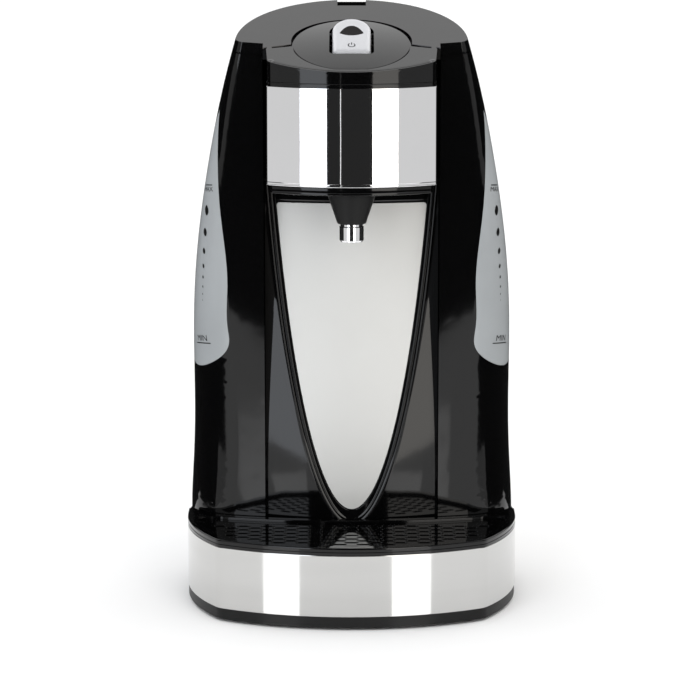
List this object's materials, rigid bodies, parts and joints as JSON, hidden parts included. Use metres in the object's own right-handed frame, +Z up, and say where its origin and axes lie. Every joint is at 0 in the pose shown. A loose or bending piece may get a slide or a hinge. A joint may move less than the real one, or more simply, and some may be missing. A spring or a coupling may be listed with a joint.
{
  "type": "hot water tea maker",
  "caption": "Countertop hot-water tea maker: leaning black body with side windows, chrome head with push button and spout, hinged tank lid and lift-out drip tray on a steel-banded base.",
  "frame": {"origin": "on the floor, below the middle of the base", "axes": "+X to the machine's left side as it faces the user, -Y to the front where the cup stands, +Z up"},
  "size_m": [0.177, 0.19, 0.3196],
  "materials": {
    "black_gloss": "high-gloss black moulding",
    "black_matte": "fine-grained matt black moulding",
    "silver_plate": "bead-blasted satin sheet",
    "steel_band": "satin steel sheet, brushed along the band",
    "chrome": "bright chrome plate",
    "smoke_window": "smooth translucent grey moulding",
    "button_white": "satin pearl-silver moulding",
    "lens_clear": "clear moulding",
    "rubber": "matt rubber",
    "silicone": "translucent silicone",
    "tank_clear": "clear smoke-tinted moulding",
    "stainless": "plain stainless sheet",
    "zinc_steel": "zinc-plated",
    "cast_aluminium": "as cast",
    "board_green": "circuit board lacquer",
    "white_nylon": "natural nylon"
  },
  "bodies": {
    "machine": {"base_plate": "black_matte", "rubber_feet": "rubber", "base_band": "steel_band", "base_housing": "black_gloss", "tray_housing": "black_gloss", "inlet_bushing": "black_matte", "body_shell": "black_gloss", "front_fascia": "black_gloss", "fascia_bezel": "black_gloss", "front_plate": "silver_plate", "window_left": "smoke_window", "window_right": "smoke_window", "water_tank": "tank_clear", "tank_outlet": "white_nylon", "outlet_seal": "silicone", "hinge_pins": "zinc_steel", "drum_band": "chrome", "drum_ring": "black_gloss", "head_housing": "black_matte", "drum_cap": "black_gloss", "button_pin": "zinc_steel", "micro_switch": "black_matte", "lamp_board": "board_green", "indicator_lamp": "lens_clear", "spout_cone": "black_matte", "spout_nozzle": "chrome", "spout_nut": "white_nylon", "riser_hose": "silicone", "boiler_cup": "stainless", "boiler_lid": "white_nylon", "boiler_seal": "silicone", "heater_plate": "cast_aluminium", "heater_element": "cast_aluminium", "thermostat": "zinc_steel", "thermal_cutout": "white_nylon", "control_board": "board_green", "relay": "black_matte", "terminal_block": "white_nylon", "plate_screws": "zinc_steel", "shell_screws": "zinc_steel", "boiler_screws": "zinc_steel", "cap_screws": "zinc_steel", "head_screws": "zinc_steel"},
    "lid": {"tank_lid": "black_gloss", "lid_seal": "silicone"},
    "button": {"button": "button_white", "button_lens": "lens_clear"},
    "rod": {"push_rod": "white_nylon", "switch_plunger": "black_matte", "button_spring": "zinc_steel"},
    "valve": {"valve_float": "white_nylon"},
    "tray": {"drip_tray": "black_gloss"},
    "grille": {"drip_grille": "black_gloss"}
  },
  "joints": [
    {"name": "lid_hinge", "type": "hinge", "parent": "machine", "child": "lid", "pos_m": [0, -0.0435, 0.2978], "axis": [1, 0, 0], "range_deg": [0, 80]},
    {"name": "button_press", "type": "hinge", "parent": "machine", "child": "button", "pos_m": [0, -0.027, 0.30391], "axis": [1, 0, 0], "range_deg": [0, 5], "stiffness_Nm_per_rad": 0.5, "springref_deg": -2.86},
    {"name": "rod_slide", "type": "slide", "parent": "machine", "child": "rod", "axis": [0, 0, -1], "range_m": [0, 0.0021], "deforming": ["button_spring"]},
    {"name": "valve_lift", "type": "slide", "parent": "machine", "child": "valve", "axis": [0, 0, 1], "range_m": [0, 0.0019]},
    {"name": "tray_lift", "type": "slide", "parent": "machine", "child": "tray", "axis": [0, 0, 1], "range_m": [0, 0.045]},
    {"name": "grille_lift", "type": "slide", "parent": "tray", "child": "grille", "axis": [0, 0, 1], "range_m": [0, 0.025]}
  ],
  "couplings": [
    {"joint": "rod_slide", "follows": "button_press", "m_per_rad": 0.023}
  ]
}
